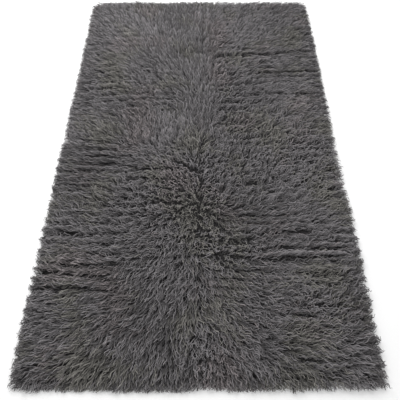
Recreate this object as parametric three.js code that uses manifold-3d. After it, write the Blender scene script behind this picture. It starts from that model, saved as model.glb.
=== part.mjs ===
// A flokati rug laid flat: a hand-woven wool ground with a long pile, combed out from
// a point near one end of its middle line.
//
// Units are millimetres and +Z is up. The origin is on the floor under the rug's middle,
// +Y runs along the rug and +X across it.
//
// The rug is woven in one piece, so it is one solid: a lumpy slab of ground and pile, with
// the locks of pile that hang over its rim fused to it at their roots.

import * as THREE from "three";
import { SimplexNoise } from "three/addons/math/SimplexNoise.js";
import { mergeGeometries, mergeVertices } from "three/addons/utils/BufferGeometryUtils.js";
import Module from "manifold-3d";

const { clamp, degToRad, lerp, seededRandom, smoothstep } = THREE.MathUtils;

// The rug over the tips of its pile, and how far the locks reach past the slab.
const WIDTH = 1500;
const LENGTH = 2500;
const LOCK_REACH = 36;

// How deep the pile lies once it is combed over, in the field and at the rim, and how wide
// the band is in which it thins out towards the rim.
const PILE_DEPTH = 33;
const RIM_DEPTH = 23;
const RIM_BAND = 110;
const CORNER_RADIUS = 60;

// The pile goes in with the weft, so it stands in rows across the rug. Each row is a soft
// ridge, and the rows wander a little.
const ROW_PITCH = 66;
const ROW_RIDGE = 3.6;
const ROW_WANDER = 6;

// Lumps on top of the rows: how far one is from the next, and how much it raises the pile.
const LUMPS = [
  { name: "patches", size: 310, height: 3.5 },
  { name: "tufts", size: 90, height: 4 },
];

// The combed pile lies in streaks that run out from where it is combed from: how many there
// are in a turn, how long one is, and how much it raises the pile.
const STREAKS = { inTurn: 40, length: 300, height: 3.5 };

// Where the pile parts. A line that runs along the length lies at an x and goes from one y
// to another, and one across the width lies at a y and goes from one x to another. Its
// slopes reach width to each side, and the pile drops by depth.
const PARTINGS = [
  { runs: "length", at: 0, from: -1250, to: -560, width: 60, depth: 8 },
  { runs: "length", at: 0, from: -560, to: -80, width: 110, depth: 11 },
  { runs: "length", at: 0, from: -80, to: 1250, width: 45, depth: 5 },
  { runs: "width", at: -690, from: -370, to: 760, width: 40, depth: 7 },
  { runs: "width", at: 750, from: 110, to: 700, width: 35, depth: 5 },
  { runs: "width", at: -30, from: -760, to: -50, width: 35, depth: 4 },
];
const PARTING_FADE = 90;

// The pile is combed away from this stretch of the middle line.
const COMBED_FROM = { low: -460, high: -150 };

// The slab's section outside its top: how far each ring of the grid lies out from the top's
// edge, and its height as a share of the pile's height there. The outer rings swing out and
// in by SCALLOP.
const RINGS = [
  { name: "shoulder", out: 0, height: 1 },
  { name: "bulge", out: 12, height: 0.5 },
  { name: "hem", out: 6, height: 0 },
];
const BULGE = RINGS[1];
const SCALLOP = 5;

// The grid that the slab's top is made of. The columns are even, apart from those beside the
// middle line, which stand closer so that the parting shows.
const COLUMNS = 26;
const PARTING_COLUMN = 27;
const HALF_WIDTH = WIDTH / 2 - LOCK_REACH - BULGE.out;
const HALF_LENGTH = LENGTH / 2 - LOCK_REACH - BULGE.out;
const PILE_ROWS = Math.round((2 * HALF_LENGTH) / ROW_PITCH);
const GRID_ROWS = 2 * PILE_ROWS;
const SCATTER = 2.4;

// The underside's middle is one plain rectangle, this far in from the slab's edge.
const UNDERSIDE_MARGIN = 120;

// The locks at the rim. Each is a flattened strand of three sides that leaves the slab part
// of the way up, falls over and lies level on the floor.
const RIM_LOCKS = 156;
const LOCK = { sides: 3, steps: 3, radius: 16, flatness: 0.6, root: 24, rise: 3, rootHeight: 0.5 };
const LOCK_TURN = degToRad(13);
const COMB_SHARE = 0.45;
const SHORTEST_LOCK = 0.6;

seededRandom(4);
const noise = new SimplexNoise({ random: () => seededRandom() });

// A repeatable number between -1 and 1.
const either = () => 2 * seededRandom() - 1;

// How far a place lies from where the pile is combed from, and in which direction.
function combing(x, y) {
  return new THREE.Vector2(x, y - clamp(y, COMBED_FROM.low, COMBED_FROM.high));
}

// How much a streak of combed pile raises a place, from -1 to 1.
function streak(x, y) {
  const from = combing(x, y);
  const turn = (from.angle() * STREAKS.inTurn) / (2 * Math.PI);
  return noise.noise(turn, from.length() / STREAKS.length);
}

// How far the pile drops at a place because it parts there.
function partingDrop(x, y) {
  return PARTINGS.reduce((deepest, line) => {
    const [across, along] = line.runs === "length" ? [x, y] : [y, x];
    const near = 1 - smoothstep(Math.abs(across - line.at), 0, line.width);
    const inside = smoothstep(Math.min(along - line.from, line.to - along), -PARTING_FADE, 0);
    return Math.max(deepest, line.depth * near * inside);
  }, 0);
}

// The pile's height over the floor. ridge is 1 on the top of a row and -1 between two rows.
function pileHeight(x, y, ridge) {
  const fromEdge = Math.min(HALF_WIDTH - Math.abs(x), HALF_LENGTH - Math.abs(y));
  const crown = lerp(RIM_DEPTH, PILE_DEPTH, smoothstep(fromEdge, 0, RIM_BAND));
  const lumps = LUMPS.reduce((sum, l) => sum + l.height * noise.noise(x / l.size, y / l.size), 0);
  const combed = STREAKS.height * streak(x, y);
  return crown + lumps + combed + ROW_RIDGE * ridge - partingDrop(x, y);
}

// Where a column of the top's grid stands across the rug.
function columnPlace(column) {
  const steps = column - COLUMNS / 2;
  const evenStep = (HALF_WIDTH - PARTING_COLUMN) / (COLUMNS / 2 - 1);
  const past = Math.max(Math.abs(steps) - 1, 0);
  return Math.sign(steps) * (PARTING_COLUMN + past * evenStep);
}

// Rounds the corners of a rectangle: the last CORNER_RADIUS of each corner is drawn in from
// a square to a quarter disc.
function roundedCorner(x, y) {
  const u = (Math.abs(x) - (HALF_WIDTH - CORNER_RADIUS)) / CORNER_RADIUS;
  const v = (Math.abs(y) - (HALF_LENGTH - CORNER_RADIUS)) / CORNER_RADIUS;
  if (u <= 0 || v <= 0) return new THREE.Vector2(x, y);
  return new THREE.Vector2(
    Math.sign(x) * (HALF_WIDTH - CORNER_RADIUS * (1 - u * Math.sqrt(1 - (v * v) / 2))),
    Math.sign(y) * (HALF_LENGTH - CORNER_RADIUS * (1 - v * Math.sqrt(1 - (u * u) / 2))),
  );
}

// A grid whose inner part is the slab's lumpy top, and whose outer two rings are folded out
// and down to the floor.
function slabTop() {
  const folded = RINGS.length - 1;
  const wide = COLUMNS + 2 * folded;
  const long = GRID_ROWS + 2 * folded;
  const grid = new THREE.PlaneGeometry(WIDTH, LENGTH, wide, long);
  const points = grid.getAttribute("position");
  for (let k = 0; k < points.count; k += 1) {
    const across = k % (wide + 1);
    const along = long - Math.floor(k / (wide + 1));
    const column = clamp(across - folded, 0, COLUMNS);
    const row = clamp(along - folded, 0, GRID_ROWS);
    const way = new THREE.Vector2(across - folded - column, along - folded - row);
    const ring = RINGS[Math.max(Math.abs(way.x), Math.abs(way.y))];

    const x = columnPlace(column);
    const evenY = lerp(-HALF_LENGTH, HALF_LENGTH, row / GRID_ROWS);
    const atEnd = row === 0 || row === GRID_ROWS;
    const y = evenY + (atEnd ? 0 : ROW_WANDER * noise.noise(x / ROW_PITCH / 4, row / 2));
    const place = roundedCorner(x, y);
    const ridge = row % 2 === 1 ? 1 : -1;
    const height = pileHeight(x, y, ridge) + SCATTER * either();
    const scallop = ring.out > 0 ? SCALLOP * ((column + row) % 2 === 1 ? 1 : -1) : 0;

    place.addScaledVector(way.normalize(), ring.out + scallop);
    points.setXYZ(k, place.x, place.y, ring.height * height);
  }
  return grid;
}

// The outer ring of the slab's grid, which lies on the floor, in order round the slab.
function hemLine(grid) {
  const { widthSegments: wide, heightSegments: long } = grid.parameters;
  const points = grid.getAttribute("position");
  const ring = [];
  for (let i = 0; i < wide; i += 1) ring.push(long * (wide + 1) + i);
  for (let j = long; j > 0; j -= 1) ring.push(j * (wide + 1) + wide);
  for (let i = wide; i > 0; i -= 1) ring.push(i);
  for (let j = 0; j < long; j += 1) ring.push(j * (wide + 1));
  return ring.map((k) => new THREE.Vector2(points.getX(k), points.getY(k)));
}

// The flat underside: a plain rectangle, and the band between it and the hem.
function underside(hem) {
  const right = HALF_WIDTH - UNDERSIDE_MARGIN;
  const far = HALF_LENGTH - UNDERSIDE_MARGIN;
  const corners = [
    new THREE.Vector2(-right, -far),
    new THREE.Vector2(right, -far),
    new THREE.Vector2(right, far),
    new THREE.Vector2(-right, far),
  ];
  const band = new THREE.Shape(hem);
  band.holes.push(new THREE.Path(corners));
  return [new THREE.ShapeGeometry(band), new THREE.ShapeGeometry(new THREE.Shape(corners))].map(
    (face) => face.setIndex([...face.index.array].reverse()),
  );
}

// A strand bent along a curve. Where a stretch of it would sink into the floor, it is
// lifted, so that its flat side rests on the floor.
function strand(curve, radius) {
  const cone = new THREE.ConeGeometry(1, 1, LOCK.sides, LOCK.steps);
  const points = cone.getAttribute("position");
  const up = new THREE.Vector3(0, 0, 1);
  const flatSide = Math.cos(Math.PI / LOCK.sides) * LOCK.flatness;
  for (let k = 0; k < points.count; k += 1) {
    const share = points.getY(k) + 0.5;
    const coneRadius = Math.max(1 - share, Number.EPSILON);
    const thickness = radius * Math.sqrt(1 - share);
    const ahead = curve.getTangent(share);
    const side = new THREE.Vector3().crossVectors(ahead, up).normalize();
    const above = new THREE.Vector3().crossVectors(side, ahead);
    const place = curve.getPoint(share);
    place.z = Math.max(place.z, flatSide * thickness * above.z);
    place.addScaledVector(side, (thickness * points.getX(k)) / coneRadius);
    place.addScaledVector(above, (LOCK.flatness * thickness * points.getZ(k)) / coneRadius);
    points.setXYZ(k, place.x, place.y, place.z);
  }
  return cone;
}

// The line round the slab's bulge, from which the rim's locks leave.
function bulgeLine() {
  const right = HALF_WIDTH + BULGE.out;
  const far = HALF_LENGTH + BULGE.out;
  const r = CORNER_RADIUS;
  return new THREE.Shape()
    .moveTo(-right + r, -far)
    .lineTo(right - r, -far)
    .absarc(right - r, -far + r, r, -Math.PI / 2, 0)
    .lineTo(right, far - r)
    .absarc(right - r, far - r, r, 0, Math.PI / 2)
    .lineTo(-right + r, far)
    .absarc(-right + r, far - r, r, Math.PI / 2, Math.PI)
    .lineTo(-right, -far + r)
    .absarc(-right + r, -far + r, r, Math.PI, (3 * Math.PI) / 2);
}

// The locks that hang over the rim.
function rimLocks() {
  const line = bulgeLine();
  const perimeter = line.getLength();
  const locks = [];
  for (let n = 0; n < RIM_LOCKS; n += 1) {
    const share = (n + 0.5) / RIM_LOCKS;
    const edge = line.getPoint(share);
    const along = line.getTangent(share);
    const heading = new THREE.Vector2(along.y, -along.x)
      .addScaledVector(combing(edge.x, edge.y).normalize(), COMB_SHARE)
      .normalize()
      .rotateAround(new THREE.Vector2(), LOCK_TURN * either());

    const scallop = Math.abs(Math.cos((Math.PI * share * perimeter) / ROW_PITCH));
    const reach = LOCK_REACH * lerp(SHORTEST_LOCK, 1, (scallop + seededRandom()) / 2);
    const rootHeight = LOCK.rootHeight * RIM_DEPTH + LOCK.rise * either();
    const at = (distance, z) =>
      new THREE.Vector3(edge.x + heading.x * distance, edge.y + heading.y * distance, z);
    const curve = new THREE.CubicBezierCurve3(
      at(-LOCK.root, rootHeight),
      at(0, rootHeight + LOCK.rise),
      at(reach / 2, 0),
      at(reach, 0),
    );
    locks.push(strand(curve, LOCK.radius * (1 + either() / 6)));
  }
  return locks;
}

// A closed geometry as a solid, and back.
const wasm = await Module();
wasm.setup();

function solidOf(geometry) {
  const bare = geometry.clone();
  bare.deleteAttribute("normal");
  bare.deleteAttribute("uv");
  const merged = mergeVertices(bare, 1e-3);
  return new wasm.Manifold(
    new wasm.Mesh({
      numProp: 3,
      vertProperties: merged.getAttribute("position").array,
      triVerts: new Uint32Array(merged.index.array),
    }),
  );
}

function geometryOf(solid) {
  const { vertProperties, triVerts } = solid.getMesh();
  const geometry = new THREE.BufferGeometry();
  geometry.setAttribute("position", new THREE.BufferAttribute(vertProperties, 3));
  geometry.setIndex(new THREE.BufferAttribute(triVerts, 1));
  return geometry;
}

// The rug: slab and locks in one, drawn out to its full size and centred on the origin.
function rugGeometry() {
  const top = slabTop();
  const slab = mergeGeometries([top, ...underside(hemLine(top))]);
  const rug = geometryOf(wasm.Manifold.union([solidOf(slab), ...rimLocks().map(solidOf)]));
  rug.computeBoundingBox();
  const size = rug.boundingBox.getSize(new THREE.Vector3());
  const middle = rug.boundingBox.getCenter(new THREE.Vector3());
  rug.translate(-middle.x, -middle.y, -rug.boundingBox.min.z);
  rug.scale(WIDTH / size.x, LENGTH / size.y, 1);
  rug.computeVertexNormals();
  return rug;
}

const wool = new THREE.MeshStandardMaterial({
  color: new THREE.Color().setRGB(0.33, 0.322, 0.325, THREE.SRGBColorSpace),
  roughness: 0.95,
  metalness: 0,
});

const rug = new THREE.Mesh(rugGeometry(), wool);
rug.name = "rug";

const part = new THREE.Group();
part.add(rug);

export default part;
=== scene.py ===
# %% [markdown]
# # A flokati rug
#
# A flokati is woven on a loom as a plain wool ground with long loops of soft pile yarn in
# every few rows of weft. The loops are cut, and the piece is washed in running water until
# the cut ends felt into locks. This one is about 1.5 by 2.5 m, dyed a dark grey, and combed
# out by hand from the middle line, which gives its pile the partings and fans that show.
#
# The rug is rebuilt here in three steps: the ground cloth, a few locks of pile modelled one
# by one, and a chart of how the pile was combed, along which copies of those locks are grown.

# %% Start
import math

import bpy
import numpy as np
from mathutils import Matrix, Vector, noise


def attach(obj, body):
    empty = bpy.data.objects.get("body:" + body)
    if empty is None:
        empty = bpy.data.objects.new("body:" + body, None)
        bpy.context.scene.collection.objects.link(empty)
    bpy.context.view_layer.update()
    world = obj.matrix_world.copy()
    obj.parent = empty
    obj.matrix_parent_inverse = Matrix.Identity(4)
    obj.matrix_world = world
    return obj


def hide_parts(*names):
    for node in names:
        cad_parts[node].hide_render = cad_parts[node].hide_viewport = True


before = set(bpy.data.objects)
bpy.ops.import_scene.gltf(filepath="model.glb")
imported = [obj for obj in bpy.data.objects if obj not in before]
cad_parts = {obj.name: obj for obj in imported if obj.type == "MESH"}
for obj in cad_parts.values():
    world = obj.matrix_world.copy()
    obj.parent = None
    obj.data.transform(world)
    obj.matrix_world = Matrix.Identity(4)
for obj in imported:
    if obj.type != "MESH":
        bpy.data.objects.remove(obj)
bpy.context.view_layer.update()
chance = np.random.default_rng(11)

# %% [markdown]
# ## Camera
#
# The photo was taken standing, looking down over one end of the rug. Its long edges run
# together towards a horizon far above the picture, and that fixes the tilt and the height of
# the camera once a usual lens of 35 mm is taken.

# %% Camera
CAMERA_HEIGHT = 1.715
CAMERA_BACK = 1.372
CAMERA_ASIDE = 0.005
CAMERA_TILT = math.radians(30.14)  # up from straight down
CAMERA_LENS = 35

bpy.ops.object.camera_add(
    location=(CAMERA_ASIDE, -CAMERA_BACK, CAMERA_HEIGHT), rotation=(CAMERA_TILT, 0, 0)
)
camera = bpy.context.active_object
camera.name = "camera"
camera.data.lens = CAMERA_LENS
bpy.context.scene.camera = camera

# %% [markdown]
# ## Studio
#
# The photo is cut out on white. A near-white floor under an evenly bright sky gives the same
# look, with a faint shadow round the rug. One wide, soft light hangs over the far left of the
# rug and faces its middle.

# %% Studio
FLOOR_SIZE = 30
FLOOR_DROP = 0.0005
FLOOR_GREY = 0.95
SKY_STRENGTH = 0.75
KEY_PLACE = (-1.1, 1.5, 2.8)
KEY_SIZE = 2.4
KEY_POWER = 92

bpy.ops.mesh.primitive_plane_add(size=FLOOR_SIZE, location=(0, 0, -FLOOR_DROP))
floor = bpy.context.active_object
floor.name = "floor"

floor_material = bpy.data.materials.new("pale_floor")
floor_material.use_nodes = True
floor_shader = floor_material.node_tree.nodes["Principled BSDF"]
floor_shader.inputs["Base Color"].default_value = (FLOOR_GREY, FLOOR_GREY, FLOOR_GREY, 1)
floor_shader.inputs["Roughness"].default_value = 1
floor_shader.inputs["Specular IOR Level"].default_value = 0
floor.data.materials.append(floor_material)

world = bpy.data.worlds.new("studio")
world.use_nodes = True
sky = world.node_tree.nodes["Background"]
sky.inputs["Color"].default_value = (1, 1, 1, 1)
sky.inputs["Strength"].default_value = SKY_STRENGTH
bpy.context.scene.world = world

bpy.ops.object.light_add(type="AREA", location=KEY_PLACE)
key_light = bpy.context.active_object
key_light.name = "key_light"
key_light.data.size = KEY_SIZE
key_light.data.energy = KEY_POWER
key_light.rotation_euler = (-Vector(KEY_PLACE)).to_track_quat("-Z", "Y").to_euler()
bpy.context.scene.view_settings.view_transform = "Standard"
bpy.context.scene.view_settings.look = "None"

# %% [markdown]
# ## The ground cloth
#
# The ground is a dense plain weave, about 2.5 mm thick, with firm selvedges. It only shows
# between the locks and on the underside. A plane with its corners rounded by a bevel and
# extruded upwards is all that it needs: the weave's ribs are bump.

# %% Ground cloth
GROUND_WIDTH = 1.44
GROUND_LENGTH = 2.44
GROUND_THICK = 0.0025
CORNER = 0.022
CORNER_STEPS = 8
SMOOTH_ANGLE = math.radians(35)


def deselect_all():
    """Leaves object mode's selection empty, as before each new piece."""
    bpy.ops.object.select_all(action="DESELECT")


deselect_all()
bpy.ops.mesh.primitive_plane_add(size=1, location=(0, 0, 0))
ground = bpy.context.active_object
ground.name = "ground_cloth"
bpy.ops.object.mode_set(mode="EDIT")
bpy.ops.mesh.select_all(action="SELECT")
bpy.ops.transform.resize(value=(GROUND_WIDTH, GROUND_LENGTH, 1))
bpy.ops.mesh.bevel(offset=CORNER, segments=CORNER_STEPS, affect="VERTICES")
bpy.ops.mesh.extrude_region_move(
    TRANSFORM_OT_translate={"value": (0, 0, GROUND_THICK)}
)
bpy.ops.mesh.select_all(action="SELECT")
bpy.ops.mesh.normals_make_consistent(inside=False)
bpy.ops.object.mode_set(mode="OBJECT")
bpy.ops.object.shade_smooth_by_angle(angle=SMOOTH_ANGLE)
print("ground cloth", [round(v, 4) for v in ground.dimensions])

# %% [markdown]
# ## One lock of pile
#
# A felted lock is a tapering, slightly twisted strand. It is modelled standing up and
# straight, in its real size: a ring of three points, drawn out step by step, each time
# turned a little and set to the width that the lock has there, and closed to a tip. Locks
# that lie deep in the pile show only their upper side: they are flat, two points wide, and
# have few steps. Those that curl on top of it have the most.

# %% One lock
LOCK_LENGTH = 0.068
LOCK_RADIUS = 0.00185
LOCK_TWISTS = {2: math.radians(25), 3: math.radians(70)}  # from root to tip, by sides
LOCK_SHARES = (0.0, 0.3, 0.8, 0.9, 1.0)
LOCK_WIDTHS = (0.8, 1.0, 0.9, 0.8, 0.1)


def ring_shares(steps):
    """How far up the lock each ring lies, from 0 to 1: the last step is half as long."""
    return np.append(np.arange(steps), steps - 0.5) / (steps - 0.5)


def lock_model(sides, steps):
    """A straight, upright lock: flat with 2 sides or round with 3, drawn out in so many steps."""
    shares = ring_shares(steps)
    widths = np.interp(shares, LOCK_SHARES, LOCK_WIDTHS)
    deselect_all()
    bpy.ops.mesh.primitive_circle_add(
        vertices=3, radius=LOCK_RADIUS * widths[0], fill_type="NOTHING"
    )
    lock = bpy.context.active_object
    lock.name = f"lock_{sides}_{steps}"
    bpy.ops.object.mode_set(mode="EDIT")
    if sides == 2:
        bpy.ops.mesh.select_all(action="DESELECT")
        bpy.ops.object.mode_set(mode="OBJECT")
        lock.data.vertices[0].select = True
        bpy.ops.object.mode_set(mode="EDIT")
        bpy.ops.mesh.delete(type="VERT")
    bpy.ops.mesh.select_all(action="SELECT")
    for low, high, before, after in zip(shares, shares[1:], widths, widths[1:]):
        bpy.ops.mesh.extrude_region_move(
            TRANSFORM_OT_translate={"value": (0, 0, (high - low) * LOCK_LENGTH)}
        )
        bpy.ops.transform.resize(value=(after / before, after / before, 1))
        bpy.ops.transform.rotate(
            value=(high - low) * LOCK_TWISTS[sides], orient_axis="Z", center_override=(0, 0, 0)
        )
    bpy.ops.mesh.merge(type="CENTER")
    bpy.ops.object.mode_set(mode="OBJECT")
    print(lock.name, len(lock.data.polygons), "faces", [round(v, 4) for v in lock.dimensions])
    return lock


# The sides and steps of each kind: three flat ones for the lower locks, two round ones for
# the top of each tuft, and in both the later kinds with more steps for curlier pile.
LOCK_KINDS = ((2, 3), (2, 4), (2, 5), (3, 6), (3, 8))
lock_models = [lock_model(sides, steps) for sides, steps in LOCK_KINDS]

# %% [markdown]
# ## How the pile was combed
#
# The pile points away from the middle line of the rug. Beyond the star of curls in the near
# half it also leans away from the camera, and nearer than the star towards the camera. This
# chart was read off the photo. Each row is a place along the rug, each column a place
# across it. A heading is in degrees: 0 points right, 90 away from the camera, 180 left and
# 270 towards it. A curl of 0 is smooth, brushed-out pile and 10 is pile that stands up in
# short, tangled curls.

# %% Combing chart
CHART_X = (-0.72, -0.50, -0.30, -0.12, -0.03, 0.02, 0.085, 0.12, 0.32, 0.52, 0.72)
CHART_Y = (
    1.22, 0.86, 0.72, 0.58, 0.40, 0.25, 0.17, 0.10, 0.0, -0.06,
    -0.15, -0.28, -0.40, -0.49, -0.66, -0.76, -0.93, -1.09, -1.22,
)
HEADINGS = (
    (138, 112, 97, 93, 91, 88, 78, 60, 50, 35, 20),
    (165, 135, 103, 94, 91, 87, 78, 45, 42, 28, 10),
    (172, 152, 115, 95, 91, 86, 78, 20, 12, 6, 3),
    (172, 168, 155, 115, 94, 86, 78, 22, 15, 8, 5),
    (176, 172, 170, 155, 100, 86, 78, 25, 18, 10, 5),
    (172, 168, 168, 160, 105, 86, 76, 30, 25, 14, 8),
    (165, 155, 105, 95, 92, 86, 75, 35, 30, 20, 12),
    (165, 150, 98, 93, 91, 86, 74, 38, 34, 28, 18),
    (168, 150, 100, 95, 92, 85, 66, 42, 40, 38, 26),
    (180, 178, 165, 145, 105, 82, 52, 40, 38, 40, 32),
    (180, 180, 178, 165, 120, 75, 42, 32, 34, 38, 32),
    (165, 168, 182, 186, 140, 70, 38, 30, 30, 36, 28),
    (152, 150, 184, 190, 160, 50, 40, 28, 20, 26, 18),
    (165, 165, 200, 225, 255, 290, 318, 335, 5, 15, 10),
    (180, 184, 200, 236, 262, 290, 315, 335, 0, 0, 2),
    (182, 192, 214, 244, 263, 292, 303, 315, 352, 20, 35),
    (186, 198, 224, 250, 264, 288, 303, 325, 355, 25, 30),
    (196, 214, 236, 256, 266, 282, 298, 315, 348, 0, 10),
    (222, 240, 252, 262, 268, 276, 282, 287, 300, 325, 335),
)
CURLS = (
    (2, 1, 1, 1, 1, 1, 3, 6, 4, 3, 3),
    (3, 1, 1, 1, 1, 1, 3, 7, 4, 3, 3),
    (3, 2, 1, 1, 1, 1, 4, 8, 3, 3, 3),
    (3, 3, 2, 1, 1, 1, 4, 8, 3, 3, 3),
    (3, 6, 6, 2, 1, 1, 4, 8, 4, 3, 3),
    (3, 4, 5, 4, 2, 2, 4, 8, 5, 4, 3),
    (3, 3, 2, 2, 2, 2, 4, 8, 5, 4, 3),
    (4, 3, 3, 3, 2, 2, 4, 8, 6, 6, 4),
    (4, 3, 3, 3, 2, 3, 5, 8, 6, 6, 5),
    (2, 2, 4, 4, 5, 6, 6, 6, 6, 8, 7),
    (2, 2, 4, 7, 8, 9, 8, 7, 6, 8, 7),
    (2, 2, 6, 9, 10, 10, 9, 7, 6, 7, 7),
    (3, 4, 8, 9, 9, 9, 9, 6, 3, 3, 3),
    (3, 3, 5, 6, 7, 8, 5, 3, 2, 3, 3),
    (3, 3, 4, 4, 4, 7, 10, 10, 5, 3, 3),
    (3, 2, 3, 3, 3, 3, 3, 3, 3, 4, 3),
    (2, 2, 2, 2, 2, 3, 3, 3, 4, 7, 3),
    (2, 2, 2, 2, 6, 8, 5, 3, 3, 3, 3),
    (2, 1, 1, 1, 2, 3, 2, 2, 3, 4, 4),
)

NOISE_GAIN = 1.6


def between(chart, x, y):
    """The chart's value at each place, blended from the four entries round it."""
    chart = np.asarray(chart, float)
    column = np.interp(x, CHART_X, np.arange(len(CHART_X)))
    row = np.interp(-y, [-v for v in CHART_Y], np.arange(len(CHART_Y)))
    left = np.minimum(column.astype(int), len(CHART_X) - 2)
    top = np.minimum(row.astype(int), len(CHART_Y) - 2)
    across, down = column - left, row - top
    upper = chart[top, left] * (1 - across) + chart[top, left + 1] * across
    lower = chart[top + 1, left] * (1 - across) + chart[top + 1, left + 1] * across
    return upper * (1 - down) + lower * down


def combed(x, y):
    """Heading and curl of the pile at each place, and how far it is parted there."""
    headings = np.radians(HEADINGS)
    lean_x, lean_y = between(np.cos(headings), x, y), between(np.sin(headings), x, y)
    parting = 1 - np.hypot(lean_x, lean_y)
    return np.arctan2(lean_y, lean_x), between(CURLS, x, y) / 10, parting


def lumps(x, y, size, seed):
    """Smooth random values from about -1 to 1, whose patches are about size across."""
    places = zip(x / size, y / size)
    return np.array([noise.noise((u, v, seed)) for u, v in places]) * NOISE_GAIN


# %% [markdown]
# ## Partings
#
# Where the comb changed direction, and where the rug was folded, the pile opens along a
# line. The roots there are drawn apart a little, the locks lean away from the line, and the
# tips are kept off it, so that the line shows dark, and the locks in it get painted shade.
# Some partings have a ridge of raised pile beside them, painted paler as painted light.

# %% Partings
# Each parting runs from one point to another. The points were picked in the photo and
# turned into metres on the rug through the camera's view. The rest says how the pile lies:
# width   how far it acts on either side, in metres
# push    how far the roots are pushed off it, as a share of the width
# away    how strongly the locks lean away from it, beside 1 for the lie that they had
# along   how strongly they lie along it
# open    how far the tips are kept off it, as a share of the width, and how much painted shade it has
# ridge   how strong the ridge on the left of its run is, raised and painted paler as painted light
# wander  how much of the common wander it has
PLAIN = {"push": 0, "away": 0, "along": 0, "open": 0, "ridge": 0, "wander": 1}
CREASE = PLAIN | {
    "width": 0.015, "push": 0.3, "away": 0.3, "open": 1.0, "ridge": 0.5, "wander": 0.6
}
STAR = PLAIN | {
    "width": 0.0115, "push": 0.35, "away": 0.5, "open": 1.6, "ridge": 0.7, "wander": 0.3
}
ROW_LINE = PLAIN | {"width": 0.016, "push": 0.3, "away": 0.2, "open": 0.7}
PARTINGS = (
    ((0.02, -1.26), (0.0, -1.09), STAR | {"away": 0.2, "push": 0, "open": 0.3, "ridge": 0}),
    ((-0.03, -1.075), (-0.015, -1.01), STAR | {"open": 0.6}),
    ((0.0, -1.06), (0.008, -0.70), PLAIN | {"width": 0.014, "away": 0.1, "open": 0.2}),
    ((0.013, -0.36), (0.013, -0.24), STAR | {"away": 0.2, "open": 0.7}),
    ((-0.003, -0.67), (0.0, -0.52), STAR | {"away": 0.2, "open": 0.7}),
    ((0.017, -0.14), (0.012, -0.02), STAR | {"away": 0.2, "open": 0.7}),
    ((0.02, 0.05), (0.02, 1.25), PLAIN | {"width": 0.012, "away": 0.1}),
    ((-0.001, -0.44), (0.012, -0.385), STAR),
    ((0.02, -0.365), (0.063, -0.324), STAR | {"along": 1.0}),
    ((-0.005, -0.472), (-0.038, -0.412), STAR),
    ((-0.042, -0.40), (-0.051, -0.372), STAR),
    ((-0.124, -0.511), (-0.06, -0.492), STAR),
    ((-0.048, -0.492), (-0.011, -0.502), STAR),
    ((-0.267, -0.412), (-0.205, -0.401), STAR),
    ((-0.19, -0.402), (-0.14, -0.411), STAR),
    ((-0.13, -0.41), (-0.063, -0.401), STAR),
    ((-0.255, -0.339), (-0.21, -0.388), STAR),
    ((-0.172, -0.372), (-0.10, -0.378), STAR),
    ((-0.105, -0.162), (-0.048, -0.201), STAR),
    ((-0.04, -0.206), (0.004, -0.236), STAR),
    ((0.077, -0.021), (0.10, -0.082), STAR),
    ((0.09, -0.294), (0.144, -0.342), STAR),
    ((0.105, -0.401), (0.183, -0.441), STAR),
    ((0.19, -0.445), (0.217, -0.48), STAR),
    ((-0.36, -0.72), (0.035, -0.705), CREASE),
    ((0.065, -0.70), (0.235, -0.695), CREASE | {"open": 1.1, "ridge": 3.2}),
    ((0.29, -0.705), (0.80, -0.69), CREASE | {"along": 1.5, "open": 0.9, "ridge": 2.4}),
    ((0.40, -0.657), (0.80, -0.65), CREASE | {"along": 1.5, "open": 0.7}),
    ((0.42, -0.93), (0.54, -0.91), STAR | {"push": 0, "open": 0.2, "ridge": 0}),
    ((0.10, 0.675), (0.56, 0.70), CREASE | {"width": 0.019, "ridge": 0.4, "wander": 1.0}),
    ((0.60, 0.71), (0.76, 0.72), ROW_LINE),
    ((0.14, 1.12), (0.34, 1.10), ROW_LINE),
    ((-0.69, 0.78), (-0.39, 0.78), CREASE | {"ridge": 0}),
    ((0.27, 0.945), (0.43, 0.935), CREASE),
    ((0.15, 0.495), (0.71, 0.53), ROW_LINE),
    ((0.22, 0.34), (0.74, 0.335), ROW_LINE),
    ((0.16, 0.27), (0.46, 0.262), ROW_LINE),
    ((0.24, 0.208), (0.60, 0.192), ROW_LINE | {"open": 0.9}),
    ((0.11, 0.146), (0.20, 0.117), ROW_LINE),
    ((0.48, -0.026), (0.74, -0.04), ROW_LINE),
    ((0.17, -0.135), (0.56, -0.142), ROW_LINE),
    ((0.23, -0.60), (0.45, -0.56), ROW_LINE | {"open": 0.5}),
    ((0.48, -0.56), (0.62, -0.61), ROW_LINE | {"open": 0.5}),
    ((-0.50, -0.175), (-0.10, -0.205), ROW_LINE | {"open": 0.3}),
    ((-0.30, 0.235), (-0.11, 0.23), ROW_LINE),
    ((-0.73, -0.30), (-0.45, -0.335), ROW_LINE | {"open": 0.4}),
    ((-0.73, -0.575), (-0.47, -0.585), ROW_LINE),
    ((-0.64, -0.74), (-0.39, -0.735), ROW_LINE | {"open": 0.5}),
    ((-0.70, -0.775), (-0.32, -0.785), ROW_LINE | {"open": 0.5}),
    ((-0.69, -0.845), (-0.35, -0.835), ROW_LINE | {"open": 0.4}),
)
WANDER = 0.007
WANDER_SIZE = 0.07


def wandering(x, y):
    """How far the straight runs of the partings are shifted aside at each place."""
    return WANDER * lumps(x, y, WANDER_SIZE, 4.7)


def beside(start, end, line, x, y, wander):
    """How near each place is to a parting, from 0 to 1, its side of it, and the parting's run."""
    start, end = np.array(start), np.array(end)
    run_x, run_y = (end - start) / np.linalg.norm(end - start)
    along = (x - start[0]) * run_x + (y - start[1]) * run_y
    off = (y - start[1]) * run_x - (x - start[0]) * run_y + wander * line["wander"]
    past = np.maximum(0, np.maximum(-along, along - np.linalg.norm(end - start)))
    return np.exp(-(off**2 + past**2) / line["width"] ** 2), np.sign(off), run_x, run_y


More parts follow.
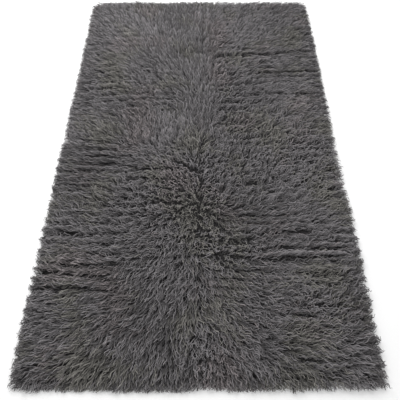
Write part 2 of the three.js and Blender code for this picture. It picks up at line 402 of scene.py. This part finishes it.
def parted(x, y, heading):
    """The roots and headings of the pile once the partings have been opened."""
    lean_x, lean_y = np.cos(heading), np.sin(heading)
    wander = wandering(x, y)
    for start, end, line in PARTINGS:
        near, side, run_x, run_y = beside(start, end, line, x, y, wander)
        push = side * near * line["width"] * line["push"]
        x, y = x - run_y * push, y + run_x * push
        lean = side * near * line["away"]
        follow = near * line["along"]
        lean_x = lean_x - run_y * lean + run_x * follow
        lean_y = lean_y + run_x * lean + run_y * follow
    return x, y, np.arctan2(lean_y, lean_x)


def opened(x, y):
    """How far each tip is moved off the partings, and how far it lies in one or on a ridge, for its
    height and its painted shade or light.
    """
    move, inside, ridge = np.zeros((x.size, 2)), np.zeros(x.size), np.zeros(x.size)
    wander = wandering(x, y)
    for start, end, line in PARTINGS:
        near, side, run_x, run_y = beside(start, end, line, x, y, wander)
        push = side * near * line["width"] * line["open"]
        move += np.stack([-run_y * push, run_x * push], -1)
        inside = np.maximum(inside, near**2 * line["open"])
        ridge += 4 * near * (1 - near) * (side > 0) * line["ridge"]
    return move, inside, ridge


# %% [markdown]
# ## Tufts and rows
#
# Washing draws neighbouring locks together in tufts, of four locks each here. The tufts
# stand in the rows of the weft, and the rows gather in bands, so that dark lines open between
# them where the pile lies along the rows, and the sides of the rug are scalloped. A closer
# row of tufts stands along the rim.

# %% Tufts
TUFT_PITCH = 0.0142
TUFT_SCATTER = 0.22 * TUFT_PITCH
GRID_INSET = 0.004
RIM_INSET = 0.005
ROW_BAND = 0.050
BAND_WANDER = 0.45


def band_place(x, y):
    """Where each place lies in its band of rows: 0 in its middle, -1 and 1 at its edges."""
    wander = BAND_WANDER * lumps(x, 2 * y, 0.5, 3.1)
    return (2 * (y / ROW_BAND + wander) + 1) % 2 - 1


def tufts():
    """Where the tufts stand: in staggered rows, a little scattered, inside the round corners."""
    columns, rows = round(GROUND_WIDTH / TUFT_PITCH), round(GROUND_LENGTH / TUFT_PITCH)
    x, y = np.meshgrid(np.arange(columns) + 0.25, np.arange(rows) + 0.5)
    x[1::2] += 0.5
    x, y = (x / columns - 0.5) * GROUND_WIDTH, (y / rows - 0.5) * GROUND_LENGTH
    x, y = x.ravel(), y.ravel()
    x = x + chance.normal(0, TUFT_SCATTER, x.size)
    y = y + chance.normal(0, TUFT_SCATTER, y.size)
    limit_x, limit_y = GROUND_WIDTH / 2 - GRID_INSET, GROUND_LENGTH / 2 - GRID_INSET
    x, y = np.clip(x, -limit_x, limit_x), np.clip(y, -limit_y, limit_y)
    corner_x = np.maximum(np.abs(x) - limit_x + CORNER, 0)
    corner_y = np.maximum(np.abs(y) - limit_y + CORNER, 0)
    inside = np.hypot(corner_x, corner_y) < CORNER
    return x[inside], y[inside]


def rim_tufts():
    """A closer row of tufts along the rim, where the selvedge holds them."""
    half_x, half_y = GROUND_WIDTH / 2 - CORNER, GROUND_LENGTH / 2 - CORNER
    run_x = np.arange(-half_x, half_x, TUFT_PITCH)
    run_y = np.arange(-half_y, half_y, TUFT_PITCH)
    side_x, end_y = GROUND_WIDTH / 2 - RIM_INSET, GROUND_LENGTH / 2 - RIM_INSET
    x = np.concatenate([run_x, run_x, np.full(run_y.size, -side_x), np.full(run_y.size, side_x)])
    y = np.concatenate([np.full(run_x.size, -end_y), np.full(run_x.size, end_y), run_y, run_y])
    return x, y


def tuft_turn(x, y, curl):
    """How far each tuft is turned off the combing, in patches and singly, more in curly pile."""
    patches = 0.45 * lumps(x, y, 0.15, 7.7) + 0.5 * lumps(x, y, 0.06, 1.9)
    return patches * (0.15 + 1.2 * curl) + chance.normal(0, 0.04 + 0.45 * curl**1.5)


tuft_x, tuft_y = np.concatenate([tufts(), rim_tufts()], 1)
tuft_heading, tuft_curl, tuft_parting = combed(tuft_x, tuft_y)
tuft_heading = tuft_heading + tuft_turn(tuft_x, tuft_y, tuft_curl)
print("tufts", tuft_x.size)

# %% [markdown]
# ## Locks
#
# Each lock leaves the ground steeply and bends over in its heading until it lies nearly
# flat on its neighbours. Curly pile is shorter, stands steeper and turns as it goes. At the
# rim it falls over the ground's edge onto the floor. The curlier the pile, the fewer lower
# locks a tuft keeps, because they wouldn't show.

# %% Locks
LOCKS_IN_TUFT = 4
TUFT_SPREAD = 0.75 * TUFT_PITCH
CURL_THIN = 0.86
ROOT_INSET = 0.003
BAND_PULL = 0.15
RIM = 0.05
RIM_LEAN = 1.2


def rooted():
    """Where each lock stands, its tuft, and its rank in it: 0 is its lowest lock, 1 its top one."""
    tuft = np.repeat(np.arange(tuft_x.size), LOCKS_IN_TUFT)
    rank = np.tile(np.arange(LOCKS_IN_TUFT), tuft_x.size) / (LOCKS_IN_TUFT - 1)
    kept = (rank == 1) | (chance.uniform(0, 1, tuft.size) > CURL_THIN * tuft_curl[tuft] ** 2)
    tuft, rank = tuft[kept], rank[kept]
    angle = chance.uniform(0, math.tau, tuft.size)
    spread = TUFT_SPREAD * (1 - 0.2 * rank) * np.sqrt(chance.uniform(0, 1, tuft.size))
    edge_x, edge_y = GROUND_WIDTH / 2 - ROOT_INSET, GROUND_LENGTH / 2 - ROOT_INSET
    x = np.clip(tuft_x[tuft] + spread * np.cos(angle), -edge_x, edge_x)
    y = np.clip(tuft_y[tuft] + spread * np.sin(angle), -edge_y, edge_y)
    return x, y, tuft, rank


def near_rim(x, y):
    """How near each place is to the sides and to the ends of the ground, from 0 to 1."""
    near_x = np.clip(1 - (GROUND_WIDTH / 2 - np.abs(x)) / RIM, 0, 1)
    near_y = np.clip(1 - (GROUND_LENGTH / 2 - np.abs(y)) / RIM, 0, 1)
    return near_x, near_y


def turned_out(x, y, heading):
    """The headings once the pile next to the rim has been turned outwards by its own weight."""
    near_x, near_y = near_rim(x, y)
    lean_x = np.cos(heading) + RIM_LEAN * near_x**2 * np.sign(x)
    lean_y = np.sin(heading) + RIM_LEAN * near_y**2 * np.sign(y)
    return np.arctan2(lean_y, lean_x)


def over_rim(x, y, heading):
    """How far each lock hangs over the rim: 0 inside, 1 over a side, and more at a corner."""
    near_x, near_y = near_rim(x, y)
    out_x = near_x * np.clip(np.sign(x) * np.cos(heading), 0, 1)
    out_y = near_y * np.clip(np.sign(y) * np.sin(heading), 0, 1)
    return out_x + out_y


def laid():
    """Every lock's root, lie, size and waves, as arrays by name."""
    x, y, tuft, rank = rooted()
    count = x.size
    curl = tuft_curl[tuft]

    # Where neighbours in the chart point apart, the locks are mixed up and stand steeper.
    parting = np.clip(1.5 * tuft_parting[tuft] - 0.15, 0, 1)
    heading = tuft_heading[tuft] + chance.normal(0, 0.06 + 0.35 * curl**2 + 1.5 * parting, count)
    y = y - BAND_PULL * band_place(x, y) * ROW_BAND / 2
    x, y, heading = parted(x, y, heading)
    heading = turned_out(x, y, heading)
    over = over_rim(x, y, heading)
    falls = np.clip(over, 0, 1)

    # Length as a share of the modelled lock's, and steepness in degrees at the root and tip.
    length = 1.02 - 0.28 * curl + 0.12 * rank + chance.normal(0, 0.09, count) * (1 - 0.4 * falls)
    length = length + 0.10 * lumps(x, y, 0.2, 5.5)
    length = length * (1 + 0.06 * falls + 0.9 * np.clip(over - 1, 0, 1))
    steep_root = 44 + (10 + 24 * curl) * rank + 14 * curl - 12 * falls + chance.normal(0, 6, count)
    steep_tip = 2 + 14 * curl**1.5 + 20 * parting + chance.normal(0, 6, count) - 48 * falls

    # Deep locks are thicker, and so are smooth, brushed-out ones and tight curls.
    width = chance.uniform(0.85, 1.15, count) * (1.15 - 0.25 * rank)
    width = width * (1.2 - 0.9 * curl * (1 - curl) + 0.1 * curl**2)
    swirl = (0.5 + 2.0 * curl) * lumps(x, y, 0.045, 8.8)
    swirl = swirl + chance.normal(0, 0.1 + 0.6 * curl, count)
    return {
        "x": x,
        "y": y,
        "tuft": tuft,
        "rank": rank,
        "curl": curl,
        "heading": heading,
        "falls": falls,
        "length": length,
        "width": width,
        "steep_root": np.radians(steep_root),
        "steep_tip": np.radians(steep_tip),
        "swirl": swirl,
        "wave": 0.35 + 0.9 * curl + 0.3 * falls,
        "wave_start": math.tau * lumps(x, y, 0.08, 12.2) + chance.normal(0, 0.9, count),
        "wave_turn": chance.uniform(8.5, 12, count) * (1 + 0.4 * curl),
        "reach": chance.uniform(0, 1, count),
        "draw": np.zeros((count, 3)),
    }


# %% [markdown]
# The path of a lock is drawn out step by step from its root, a little inside the ground. It
# bends over from its steepness at the root to that at the tip, turns with its swirl and sways
# with its wave.

# %% Paths
ROOT_DEPTH = 0.001
SWIRL_START = 0.35


def lock_path(some, steps):
    """Points along each of some locks, and its direction at each, from root to tip."""
    shares = ring_shares(steps)
    foot = np.full(some["x"].size, GROUND_THICK - ROOT_DEPTH)
    points, ways = [np.stack([some["x"], some["y"], foot], -1)], []
    for low, high in zip(shares, shares[1:]):
        share = (low + high) / 2
        bent = (1 - share) ** (1.6 - 0.6 * some["falls"])
        steep = some["steep_tip"] + (some["steep_root"] - some["steep_tip"]) * bent
        wave = some["wave"] * np.sin(some["wave_start"] + some["wave_turn"] * share)
        turned = some["heading"] + some["swirl"] * (share - SWIRL_START) + wave
        flat = np.cos(steep)
        way = np.stack([flat * np.cos(turned), flat * np.sin(turned), np.sin(steep)], -1)
        step = (high - low) * LOCK_LENGTH * some["length"]
        points.append(points[-1] + way * step[:, None] - some["draw"] * (high**2 - low**2))
        ways.append(way)
    middle = [(a + b) / 2 for a, b in zip(ways, ways[1:])]
    return np.stack(points, 1), np.stack([ways[0], *middle, ways[-1]], 1)


# %% [markdown]
# ## Clumps, bands and shades
#
# The tips cling together. They are drawn into small clumps, more so in curly pile, and into
# the middle of their band of rows where the pile lies along the rows, and they are kept off
# the partings. Each lock then gets its tone, with painted shade between the clumps and bands,
# in the partings and on the lowest locks of a tuft, and painted light on its top lock and on a
# ridge.

# %% Clumps, bands and shades
TIP_STEPS = 5
CLUMP_SIZE = 0.024
CLUMP_SEED = 5.3
CLUMP_DRAW = 0.010
BAND_DRAW = 0.6
BAND_LIFT = 0.007
DYE_ENDS = (-GROUND_LENGTH / 2, GROUND_LENGTH / 2)
TUFT_DYE = (0.12, 0.18)  # how much the tufts differ in tone at the near and at the far end
DYE_WEIGHT = 5
HUES = 3
TONES = 6
TONE_MIDDLE = 0.455
TONE_PATCHES = 0.13
TONE_SHADOW = 0.2
WARM_ABOVE = 0.6
OLIVE_ABOVE = 0.5
HUE_SCATTER = 0.3


def climb(x, y, size, seed):
    """The way up the slope of the lumps at each place, with a length from 0 to about 1."""
    step = size / 10
    east = lumps(x + step, y, size, seed) - lumps(x - step, y, size, seed)
    north = lumps(x, y + step, size, seed) - lumps(x, y - step, size, seed)
    return np.stack([east, north], -1)


def banding_at(x, y, falls):
    """How strongly the rows gather in bands, in patches, and always where locks hang over."""
    patches = np.clip(0.55 + 0.9 * lumps(x, y, 0.18, 4.4), 0.0, 1.1)
    return np.maximum(patches, 0.35 * falls)


def gathered(some):
    """Draws the tips of the locks into clumps and bands of rows, and gives each its tone, with
    painted shade and light.
    """
    x, y = lock_path(some, TIP_STEPS)[0][:, -1, :2].T
    place = band_place(x, y)
    crest = np.cos(math.pi * place)
    sideways = 0.25 + 0.75 * np.cos(some["heading"]) ** 2
    banding = banding_at(some["x"], some["y"], some["falls"]) * sideways
    cling = (0.3 + 1.25 * some["curl"]) * (1 - 0.7 * some["falls"])
    clump = CLUMP_DRAW * cling[:, None] * climb(x, y, CLUMP_SIZE, CLUMP_SEED)
    move, inside, ridge = opened(x, y)
    some["draw"][:, :2] = -clump - move
    some["draw"][:, 1] += BAND_DRAW * banding * place * ROW_BAND / 2
    some["draw"][:, 2] = BAND_LIFT * (banding * (0.3 - crest) + inside - ridge)
    some["length"] *= 1 + 0.15 * some["falls"] * sideways * crest
    # Painted shade at the edges of the bands and in the partings, and painted light on the ridges.
    shadow = np.maximum(banding * np.clip(2.5 * np.abs(place) - 1.5, 0, 1), inside) - ridge
    # Painted shade in the hollows between the clumps and painted light on their crests.
    shadow = shadow - 0.6 * lumps(x, y, CLUMP_SIZE, CLUMP_SEED)
    own = chance.normal(0, np.interp(tuft_y, DYE_ENDS, TUFT_DYE))[some["tuft"]]
    some["strip"] = shade_strip(some, shadow - DYE_WEIGHT * own)
    return some


def shade_strip(some, shadow):
    """The strip of the UV map that has each lock's colour: its hue, and its tone within that, with
    painted shade and light.
    """
    x, y, curl, count = some["x"], some["y"], some["curl"], some["x"].size
    # Painted shade from the shadow given, which also carries each tuft's own dye.
    tone = TONE_MIDDLE + 0.06 * curl + TONE_PATCHES * lumps(x, y, 0.35, 9.2) - TONE_SHADOW * shadow
    # Painted light and shade: the top lock of a tuft is paler and the lowest darker, more so in
    # curly pile.
    tone = tone + (0.1 + 1.3 * curl) * (some["rank"] - 0.5)
    tone = tone + chance.normal(0, 0.19 + 0.18 * curl, count)
    tone = np.clip(tone * TONES, 0, TONES - 1).astype(int)
    warm = lumps(x, y, 0.22, 53.0) + chance.normal(0, HUE_SCATTER, count)
    olive = lumps(x, y, 0.17, 56.34) + chance.normal(0, HUE_SCATTER, count)
    hue = np.where(warm > WARM_ABOVE, 1, np.where(olive > OLIVE_ABOVE, 2, 0))
    return hue * TONES + tone


locks = gathered(laid())
print("locks", locks["x"].size)

# %% [markdown]
# ## Growing the pile
#
# The modelled lock of each kind is bent along the paths of all the locks of that kind. The
# tips stop softly at the reach of the pile. At the sides the reach falls back between the
# bands of rows, at the ends between lobes, and it differs from lock to lock, so that single
# locks stand out as spikes.

# %% Growing the pile
# From where the tips are held back, and how far they may go, across, along and up.
REACH = ((0.750, 0.777), (1.245, 1.287), (0.042, 0.056))
# How far this falls back at most: at the sides and ends between lobes, and from lock to lock.
LOBE = (0.010, 0.018)
SPIKE = 0.013
FLOOR_GAP = 0.0004


def lobes(x, y, reach):
    """How far the reach of each lock falls back between lobes and spikes, at sides and ends."""
    sides = 0.5 - 0.5 * np.cos(math.pi * band_place(x, y))
    sides = sides * np.clip(0.6 + lumps(x, y, 0.12, 2.2), 0, 1)
    ends = np.clip(0.6 - 0.6 * lumps(x, y, 0.05, 3.3), 0, 1)
    spikes = SPIKE * reach**2
    return LOBE[0] * sides + spikes, LOBE[1] * ends + spikes, np.zeros(x.size)


def held(places, back):
    """The places with the farthest tips drawn in softly to the reach of the pile."""
    for axis, (start, stop) in enumerate(REACH):
        start, stop = start - back[axis][:, None], stop - back[axis][:, None]
        past = np.maximum(np.abs(places[..., axis]) - start, 0)
        kept = (stop - start) * (1 - np.exp(-past / (stop - start)))
        places[..., axis] = places[..., axis] - np.sign(places[..., axis]) * (past - kept)
    return places


def grown(some, kind):
    """The points of some locks: the modelled lock of their kind, bent along each path."""
    steps = LOCK_KINDS[kind][1]
    model = np.array([v.co for v in lock_models[kind].data.vertices])
    paths, ways = lock_path(some, steps)
    ring = np.abs(model[:, 2, None] / LOCK_LENGTH - ring_shares(steps)).argmin(1)
    side = np.cross(ways, (0, 0, 1))
    side /= np.linalg.norm(side, axis=-1, keepdims=True)
    above = np.cross(side, ways)
    above /= np.linalg.norm(above, axis=-1, keepdims=True)
    width = some["width"][:, None, None]
    places = paths[:, ring]
    places = places + side[:, ring] * (model[:, 0, None] * width)
    places = places + above[:, ring] * (model[:, 1, None] * width)
    places[..., 2] = np.maximum(places[..., 2], FLOOR_GAP)
    return held(places, lobes(some["x"], some["y"], some["reach"]))


# %% [markdown]
# Under the locks lies the felted foot of the pile, which closes the gaps between them. It is
# coloured nearly black, as painted shade down between the locks.

# %% Under-pile
UNDER_HEIGHT = 0.010
UNDER_LUMPS = 0.004
UNDER_LUMP_SIZE = 0.03
UNDER_INSET = 0.006
UNDER_SLOPE = 0.03
UNDER_CELLS = 60


def under_pile():
    """A fine grid a little smaller than the ground, raised in lumps and sloping at its edge."""
    deselect_all()
    bpy.ops.mesh.primitive_grid_add(
        x_subdivisions=UNDER_CELLS, y_subdivisions=UNDER_CELLS * 5 // 3, size=1
    )
    grid = bpy.context.active_object
    grid.name = "under_pile"
    width, length = GROUND_WIDTH - 2 * UNDER_INSET, GROUND_LENGTH - 2 * UNDER_INSET
    bpy.ops.object.mode_set(mode="EDIT")
    bpy.ops.mesh.select_all(action="SELECT")
    bpy.ops.transform.resize(value=(width, length, 1))
    bpy.ops.object.mode_set(mode="OBJECT")
    spots = np.array([v.co for v in grid.data.vertices])
    x, y = spots[:, 0], spots[:, 1]
    from_edge = np.minimum(width / 2 - np.abs(x), length / 2 - np.abs(y))
    rise = UNDER_HEIGHT + UNDER_LUMPS * lumps(x, y, UNDER_LUMP_SIZE, 5.0)
    spots[:, 2] = GROUND_THICK + rise * np.clip(from_edge / UNDER_SLOPE, 0, 1)
    grid.data.vertices.foreach_set("co", spots.ravel())
    grid.data.shade_smooth()
    return grid


under = under_pile()
print("under-pile", round(max(v.co.z for v in under.data.vertices), 4), "m high")

# %% [markdown]
# ## Pile pieces
#
# The pile is one mass on the real rug. Here it is six meshes, each a band across the rug,
# so that none of them is too heavy to handle. Every lock has its place in a narrow strip of
# the UV map, one strip for each hue and tone, with v running from root to tip. The tone holds
# the painted shade and light of each lock as well as its yarn's own differences.

# %% Pile pieces
BANDS = 6
STRIP_MARGIN = 0.12
STRIP_EDGE = 0.02
STRIP_END = 0.01
CURLY = 0.45


def lock_uv(kind):
    """Where each corner of a lock's faces lies in its strip: u from 0 to 1 round it, and v."""
    lock, twist = lock_models[kind], LOCK_TWISTS[LOCK_KINDS[kind][0]]
    uvs = []
    for polygon in lock.data.polygons:
        corners = [lock.data.vertices[i].co for i in polygon.vertices]
        turns = [straight_turn(corner, twist) for corner in corners]
        middle = straight_turn(polygon.center, twist)
        turns = [middle + (turn - middle + 0.5) % 1 - 0.5 for turn in turns]
        uvs += [(turn, corner.z / LOCK_LENGTH) for turn, corner in zip(turns, corners)]
    return np.array(uvs)


def straight_turn(point, twist):
    """How far round the lock a point is, from 0 to 1, with the lock's twist taken out."""
    return ((math.atan2(point.y, point.x) - twist * point.z / LOCK_LENGTH) / math.tau) % 1


def strip_uv(kind, chosen):
    """Where each face corner of the chosen locks lies in the UV map, in the strip of its shade."""
    model_uv = lock_uv(kind)
    u = STRIP_MARGIN + (1 - 2 * STRIP_MARGIN) * model_uv[:, 0]
    u = np.clip(u, STRIP_EDGE, 1 - STRIP_EDGE)
    u = (locks["strip"][chosen][:, None] + u) / (HUES * TONES)
    v = STRIP_END + (1 - 2 * STRIP_END) * np.broadcast_to(model_uv[:, 1], u.shape)
    return np.stack([u, v], -1)


def pile_mesh(name, kind, chosen):
    """A mesh of the chosen locks, all of one kind, with their UV strips."""
    lock = lock_models[kind].data
    faces = [list(p.vertices) for p in lock.polygons]
    corners = np.concatenate(faces)
    starts = np.cumsum([0] + [len(f) for f in faces[:-1]])
    number = np.arange(chosen.size)[:, None]
    indices = corners + number * len(lock.vertices)
    starts = starts + number * corners.size
    places = grown({key: value[chosen] for key, value in locks.items()}, kind)
    mesh = bpy.data.meshes.new(name)
    mesh.vertices.add(places.shape[0] * places.shape[1])
    mesh.vertices.foreach_set("co", places.astype(np.float32).ravel())
    mesh.loops.add(indices.size)
    mesh.loops.foreach_set("vertex_index", indices.astype(np.int32).ravel())
    mesh.polygons.add(starts.size)
    mesh.polygons.foreach_set("loop_start", starts.astype(np.int32).ravel())
    mesh.update(calc_edges=True)
    mesh.validate()
    uv_map = mesh.uv_layers.new(name="OFBake")
    uv_map.data.foreach_set("uv", strip_uv(kind, chosen).astype(np.float32).ravel())
    mesh.shade_smooth()
    piece = bpy.data.objects.new(name, mesh)
    bpy.context.collection.objects.link(piece)
    return piece


def joined(name, parts):
    """The parts as one object of that name."""
    deselect_all()
    for part in parts:
        part.select_set(True)
    bpy.context.view_layer.objects.active = parts[0]
    bpy.ops.object.join()
    parts[0].name = name
    return parts[0]


def kinds():
    """The kind of each lock: the lowest of a tuft, those between, or the top one, and curlier."""
    lower = np.where(locks["rank"] == 0, 0, 1)
    return np.where(locks["rank"] < 1, lower, 3) + (locks["curl"] > CURLY)


def pile_bands():
    """The pieces of the pile, one for each band across the rug."""
    kind_of = kinds()
    band = np.clip(((locks["y"] / GROUND_LENGTH + 0.5) * BANDS).astype(int), 0, BANDS - 1)
    pieces = []
    for number in range(BANDS):
        parts = [
            pile_mesh("part", kind, np.flatnonzero((band == number) & (kind_of == kind)))
            for kind in range(len(LOCK_KINDS))
        ]
        pieces.append(joined(f"pile_band_{number + 1}", parts))
    return pieces


pile = pile_bands()
for lock in lock_models:
    bpy.data.objects.remove(lock)
print("triangles", [sum(len(p.vertices) - 2 for p in o.data.polygons) for o in pile])

# %% [markdown]
# ## Materials
#
# All materials are made of shader nodes. A few short functions build and link them.

# %% Material helpers
def shader_material(name):
    """A new material, its node tree and its Principled shader."""
    material = bpy.data.materials.new(name)
    material.use_nodes = True
    tree = material.node_tree
    return material, tree, tree.nodes["Principled BSDF"]


def node(tree, kind, **values):
    """A new node with values set on its inputs, given by name."""
    made = tree.nodes.new(kind)
    for key, value in values.items():
        made.inputs[key.replace("_", " ")].default_value = value
    return made


def math_node(tree, operation, first, second=0.0):
    """A Math node on an output and a number or another output."""
    made = tree.nodes.new("ShaderNodeMath")
    made.operation = operation
    for socket, value in zip(made.inputs, (first, second)):
        if isinstance(value, (int, float)):
            socket.default_value = value
        else:
            tree.links.new(value, socket)
    return made.outputs[0]


def ramp(tree, factor, stops, interpolation="LINEAR"):
    """A colour ramp with the stops (place, colour), where a colour may be one grey value."""
    made = tree.nodes.new("ShaderNodeValToRGB")
    made.color_ramp.interpolation = interpolation
    elements = made.color_ramp.elements
    while len(elements) < len(stops):
        elements.new(0.5)
    for element, (place, colour) in zip(elements, stops):
        element.position = place
        element.color = (*np.broadcast_to(colour, 3), 1)
    tree.links.new(factor, made.inputs["Fac"])
    return made.outputs["Color"]


def multiply(tree, first, second):
    """One colour times another."""
    made = tree.nodes.new("ShaderNodeMix")
    made.data_type = "RGBA"
    made.blend_type = "MULTIPLY"
    made.inputs["Factor"].default_value = 1.0
    tree.links.new(first, made.inputs["A"])
    tree.links.new(second, made.inputs["B"])
    return made.outputs["Result"]


def dress(tree, shader, colour, height, bump, finish):
    """Links a colour and a bump's height to a shader, and sets its finish, given by input."""
    made = node(tree, "ShaderNodeBump", **bump)
    tree.links.new(height, made.inputs["Height"])
    tree.links.new(made.outputs["Normal"], shader.inputs["Normal"])
    tree.links.new(colour, shader.inputs["Base Color"])
    for key, value in finish.items():
        shader.inputs[key].default_value = value


# %% [markdown]
# ## Wool
#
# The pile is dyed in the piece, and each yarn takes the dye a little differently: most is a
# neutral grey, some of it warm and some faintly olive. A lock is painted darker at its root,
# as painted shade from the pile round it, and paler towards its tip, as a painted highlight,
# and its felted fibres show as fine streaks along it.

# %% Wool
WOOL_TONES = [
    (0.0, (0.045, 0.0428, 0.0438)),
    (0.5, (0.116, 0.1102, 0.1142)),
    (1.0, (0.25, 0.2375, 0.2465)),
]
WOOL_HUES = [
    (0.0, (1.0, 1.0, 1.0)),
    (1 / 3, (1.06, 1.0, 0.98)),
    (2 / 3, (1.0, 1.01, 0.90)),
]
# Painted shade at the root of each lock and a painted highlight towards its tip.
ROOT_SHADE_TIP_LIGHT = [(0.0, 0.3), (0.5, 0.8), (1.0, 1.5)]
FIBRE_SCALE = (150, 7, 1)
FIBRE_STREAKS = [(0.35, 0.55), (0.65, 1.4)]

wool, tree, shader = shader_material("wool_pile")
uv = tree.nodes.new("ShaderNodeUVMap")
uv.uv_map = "OFBake"
split = tree.nodes.new("ShaderNodeSeparateXYZ")
tree.links.new(uv.outputs["UV"], split.inputs["Vector"])
u, v = split.outputs["X"], split.outputs["Y"]

in_hue = math_node(tree, "FRACT", math_node(tree, "MULTIPLY", u, HUES))
shade = ramp(tree, in_hue, WOOL_TONES)
hue = ramp(tree, u, WOOL_HUES, "CONSTANT")
# The painted root shade and tip highlight, along each lock.
along = ramp(tree, v, ROOT_SHADE_TIP_LIGHT)

fibre_place = node(tree, "ShaderNodeMapping", Scale=FIBRE_SCALE)
tree.links.new(uv.outputs["UV"], fibre_place.inputs["Vector"])
fibre = node(tree, "ShaderNodeTexNoise", Scale=1.0, Detail=3.0)
tree.links.new(fibre_place.outputs["Vector"], fibre.inputs["Vector"])
streak = ramp(tree, fibre.outputs["Fac"], FIBRE_STREAKS)

colour = multiply(tree, multiply(tree, multiply(tree, shade, hue), along), streak)
wool_bump = {"Strength": 0.5, "Distance": 0.001}
wool_finish = {
    "Roughness": 0.9,
    "Specular IOR Level": 0.15,
    "Sheen Weight": 0.12,
    "Sheen Roughness": 0.6,
}
dress(tree, shader, colour, fibre.outputs["Fac"], wool_bump, wool_finish)
for piece in pile:
    piece.data.materials.append(wool)

# %% [markdown]
# The ground is woven from the same dyed wool, and its plain weave shows as small ribs, the
# weft in raised rows across the rug and the warp between them. It is coloured darker than the
# pile, as painted shade where it shows between the locks, and darker again in the grooves
# between the ribs, as painted shade. The under-pile is matted felt, coloured nearly black as
# painted shade for the deep gaps between the locks.

# %% Ground and felt
WEFT_SCALE = 96.153846  # ribs 3.3 mm apart
WARP_SCALE = 55.555556  # ribs 5.7 mm apart


def ribs(tree, place, direction, scale):
    """Soft ribs that follow one another in a direction."""
    made = node(tree, "ShaderNodeTexWave", Scale=scale, Distortion=0.6, Detail=1.0)
    made.bands_direction = direction
    tree.links.new(place, made.inputs["Vector"])
    return made.outputs["Fac"]


weave, tree, shader = shader_material("wool_ground")
place = tree.nodes.new("ShaderNodeTexCoord").outputs["Object"]
weft, warp = ribs(tree, place, "Y", WEFT_SCALE), ribs(tree, place, "X", WARP_SCALE)
cloth = math_node(tree, "MULTIPLY", weft, warp)
# Painted shade: darker than the pile where it shows between the locks, and darker in the grooves of
# the weave.
ground_colour = ramp(tree, cloth, [(0.0, 0.02), (1.0, (0.06, 0.058, 0.059))])
ground_bump = {"Strength": 0.6, "Distance": 0.001}
ground_finish = {"Roughness": 0.95, "Specular IOR Level": 0.1}
dress(tree, shader, ground_colour, cloth, ground_bump, ground_finish)
ground.data.materials.append(weave)

felt, tree, shader = shader_material("wool_felt_painted_shade")
place = tree.nodes.new("ShaderNodeTexCoord").outputs["Object"]
fuzz = node(tree, "ShaderNodeTexNoise", Scale=160.0, Detail=4.0, Roughness=0.7)
tree.links.new(place, fuzz.inputs["Vector"])
# Painted shade: nearly black, for the deep gaps between the locks.
shade_felt_stops = [(0.3, (0.010, 0.0096, 0.010)), (0.7, (0.042, 0.040, 0.041))]
shade_felt_colour = ramp(tree, fuzz.outputs["Fac"], shade_felt_stops)
felt_bump = {"Strength": 1.0, "Distance": 0.003}
felt_finish = {"Roughness": 1.0, "Specular IOR Level": 0.05}
dress(tree, shader, shade_felt_colour, fuzz.outputs["Fac"], felt_bump, felt_finish)
under.data.materials.append(felt)

# %% [markdown]
# ## On the body
#
# The whole rug rides on the one body. The ground is a sheet of cloth with the pile on it.

# %% On the body
for piece in (ground, under, *pile):
    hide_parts("rug")
    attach(piece, "root")
